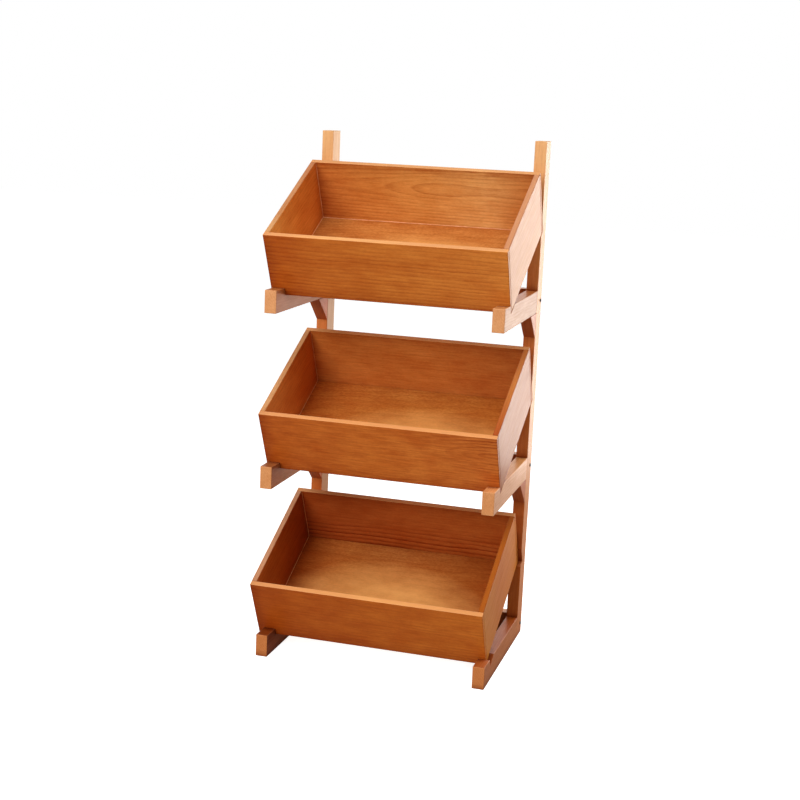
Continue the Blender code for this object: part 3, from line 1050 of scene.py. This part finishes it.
def add_camera():
    level = Vector((math.cos(CAMERA_YAW), math.sin(CAMERA_YAW), 0))
    forward = Vector((
        -math.sin(CAMERA_YAW) * math.cos(CAMERA_PITCH),
        math.cos(CAMERA_YAW) * math.cos(CAMERA_PITCH),
        math.sin(CAMERA_PITCH),
    ))
    down = forward.cross(level)
    right = math.cos(CAMERA_ROLL) * level + math.sin(CAMERA_ROLL) * down
    data = bpy.data.cameras.new("camera")
    data.lens = FOCAL_PIXELS * data.sensor_width / IMAGE_SIDE
    camera = bpy.data.objects.new("camera", data)
    camera.matrix_world = look_matrix(CAMERA_POSITION, forward, right)
    bpy.context.scene.collection.objects.link(camera)
    bpy.context.scene.camera = camera


def add_lamp(name, position, target, width, height, radiance, colour=(1, 1, 1)):
    """A soft light of an even brightness, aimed at a point."""
    data = bpy.data.lights.new(name, "AREA")
    data.shape = "RECTANGLE"
    data.size = width
    data.size_y = height
    data.energy = radiance * math.pi * width * height
    data.color = colour
    lamp = bpy.data.objects.new(name, data)
    forward = (Vector(target) - Vector(position)).normalized()
    lamp.matrix_world = look_matrix(Vector(position), forward, forward.cross(Z).normalized())
    lamp.visible_camera = False
    bpy.context.scene.collection.objects.link(lamp)


def add_world():
    """White to the camera and in reflections, and a lower even light on the object."""
    world = bpy.data.worlds.new("studio")
    world.use_nodes = True
    bpy.context.scene.world = world
    tree = world.node_tree
    light = tree.nodes["Background"]
    light.inputs["Color"].default_value = (1, 1, 1, 1)
    ray = tree.nodes.new("ShaderNodeLightPath").outputs
    seen = maths(tree, "MAXIMUM", ray["Is Camera Ray"],
                 maths(tree, "MAXIMUM", ray["Is Glossy Ray"], ray["Is Transmission Ray"]))
    feed(tree, rescale(tree, seen, 0, 1, AMBIENT, 1.0), light.inputs["Strength"])


def add_floor():
    """A pale floor that the camera sees as white, except in the stand's shadow."""
    mesh = bpy.data.meshes.new("floor")
    ground = bmesh.new()
    bmesh.ops.create_grid(ground, x_segments=1, y_segments=1, size=FLOOR_REACH)
    ground.to_mesh(mesh)
    ground.free()
    floor = bpy.data.objects.new("floor", mesh)
    bpy.context.scene.collection.objects.link(floor)

    material, tree, shader = new_material("floor")
    mesh.materials.append(material)
    shader.inputs["Roughness"].default_value = FLOOR_ROUGHNESS
    shader.inputs["Specular IOR Level"].default_value = FLOOR_SPECULAR_LEVEL
    shader.inputs["Emission Color"].default_value = (1, 1, 1, 1)
    seen = tree.nodes.new("ShaderNodeLightPath").outputs["Is Camera Ray"]
    feed(tree, mixed(tree, seen, FLOOR_COLOUR, FLOOR_SEEN_COLOUR), shader.inputs["Base Color"])
    feed(tree, maths(tree, "MULTIPLY", seen, FLOOR_WHITENING), shader.inputs["Emission Strength"])


def add_lamps():
    """A large key light at the viewer's left, two fills, and two lamps behind that gloss the right sides."""
    add_lamp(
        "key_light", position=(-1.0, -2.7, 2.25), target=(0, 0, 0.75),
        width=2.2, height=2.2, radiance=6.6,
    )
    add_lamp(
        "top_light", position=(0.7, -0.6, 2.4), target=(0, -0.1, 0.9),
        width=1.2, height=1.2, radiance=2.4,
    )
    add_lamp(
        "side_light", position=(2.1, -0.7, 2.0), target=(0.2, 0, 0.8),
        width=1.2, height=1.2, radiance=2.4,
    )
    add_lamp(
        "rear_light", position=(0.74, 1.08, 0.66), target=(0.22, 0, 0.66),
        width=0.80, height=1.05, radiance=5.1, colour=WARM_WHITE,
    )
    add_lamp(
        "rear_left_light", position=(0.13, 1.12, 0.62), target=(-0.20, 0, 0.62),
        width=0.45, height=1.05, radiance=1.7, colour=WARM_WHITE,
    )


add_camera()
add_world()
add_floor()
add_lamps()
bpy.context.scene.view_settings.view_transform = "Standard"
